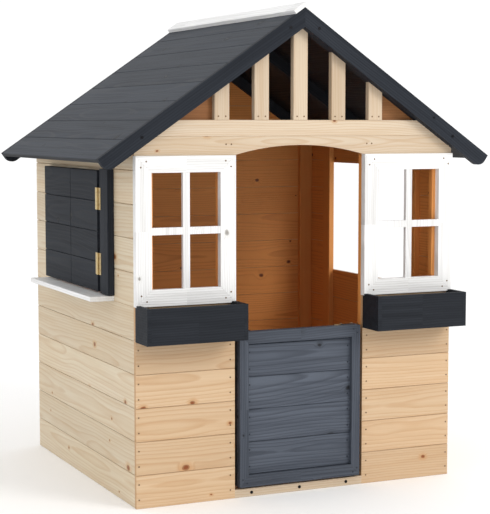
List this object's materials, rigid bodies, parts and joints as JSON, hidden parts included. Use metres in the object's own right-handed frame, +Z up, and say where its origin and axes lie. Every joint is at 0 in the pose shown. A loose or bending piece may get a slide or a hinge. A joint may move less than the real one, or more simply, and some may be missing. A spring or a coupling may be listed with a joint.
{
  "type": "timber playhouse",
  "caption": "Small boarded timber playhouse with a gabled roof, half door, pane windows, planter boxes and side shutters.",
  "frame": {"origin": "on the ground, under the middle of the bounding box", "axes": "+X to the right seen from the front, +Y from the door towards the back wall, +Z up"},
  "size_m": [1.224, 1.015, 1.3924],
  "materials": {
    "natural_timber": "raw planed softwood",
    "dark_paint": "satin paint on softwood",
    "white_paint": "satin paint on softwood",
    "brass_hardware": "satin",
    "bright_nails": "bright wire",
    "painted_nails": "satin",
    "dark_screws": "satin black"
  },
  "bodies": {
    "house": {"back_boards": "natural_timber", "back_corner_posts": "natural_timber", "barge_boards_back": "dark_paint", "barge_boards_front": "dark_paint", "bolt_keeper": "brass_hardware", "dark_screws": "dark_screws", "door_hinge_fixed_leaves": "brass_hardware", "door_posts": "natural_timber", "front_boards_left": "natural_timber", "front_boards_right": "natural_timber", "front_corner_posts": "natural_timber", "front_rails": "natural_timber", "gable_corner_infills": "natural_timber", "gable_slats": "natural_timber", "header_beam": "natural_timber", "hinge_pins": "brass_hardware", "hinge_screws_house": "brass_hardware", "left_boards_back": "natural_timber", "left_boards_front": "natural_timber", "left_boards_lower": "natural_timber", "left_boards_upper": "natural_timber", "nails_front": "bright_nails", "nails_planters": "painted_nails", "nails_windows": "bright_nails", "planter_left": "dark_paint", "planter_right": "dark_paint", "rafters": "dark_paint", "ridge_cap": "white_paint", "right_boards_back": "natural_timber", "right_boards_front": "natural_timber", "right_boards_lower": "natural_timber", "right_boards_upper": "natural_timber", "roof_boards_left": "dark_paint", "roof_boards_right": "dark_paint", "shutter_back_hinge_fixed": "brass_hardware", "shutter_front_hinge_fixed": "brass_hardware", "shutter_post": "dark_paint", "side_jambs": "natural_timber", "threshold_bar": "natural_timber", "tie_beam": "natural_timber", "window_bars": "white_paint", "window_frame_left": "white_paint", "window_frame_right": "white_paint", "window_sill": "white_paint"},
    "door": {"door_frame": "dark_paint", "door_boards": "dark_paint", "door_ledges": "dark_paint", "door_hinge_moving_leaves": "brass_hardware", "hinge_screws_door": "brass_hardware", "nails_door": "painted_nails", "bolt_plate": "brass_hardware"},
    "bolt": {"bolt_rod": "brass_hardware"},
    "shutter_front": {"shutter_front_boards": "dark_paint", "shutter_front_ledges": "dark_paint", "shutter_front_hinge_moving": "brass_hardware", "hinge_screws_shutter": "brass_hardware"},
    "shutter_back": {"shutter_back_boards": "dark_paint", "shutter_back_ledges": "dark_paint", "shutter_back_hinge_moving": "brass_hardware"}
  },
  "joints": [
    {"name": "door_hinge", "type": "hinge", "parent": "house", "child": "door", "pos_m": [-0.198, -0.38325, 0.25], "axis": [0, 0, 1], "range_deg": [0, 110]},
    {"name": "bolt_slide", "type": "slide", "parent": "door", "child": "bolt", "axis": [1, 0, 0], "range_m": [0, 0.022]},
    {"name": "shutter_front_hinge", "type": "hinge", "parent": "house", "child": "shutter_front", "pos_m": [-0.52325, -0.176, 0.75], "axis": [0, 0, 1], "range_deg": [0, 175]},
    {"name": "shutter_back_hinge", "type": "hinge", "parent": "house", "child": "shutter_back", "pos_m": [-0.504, 0.3375, 0.75], "axis": [0, 0, -1], "range_deg": [0, 100]}
  ]
}
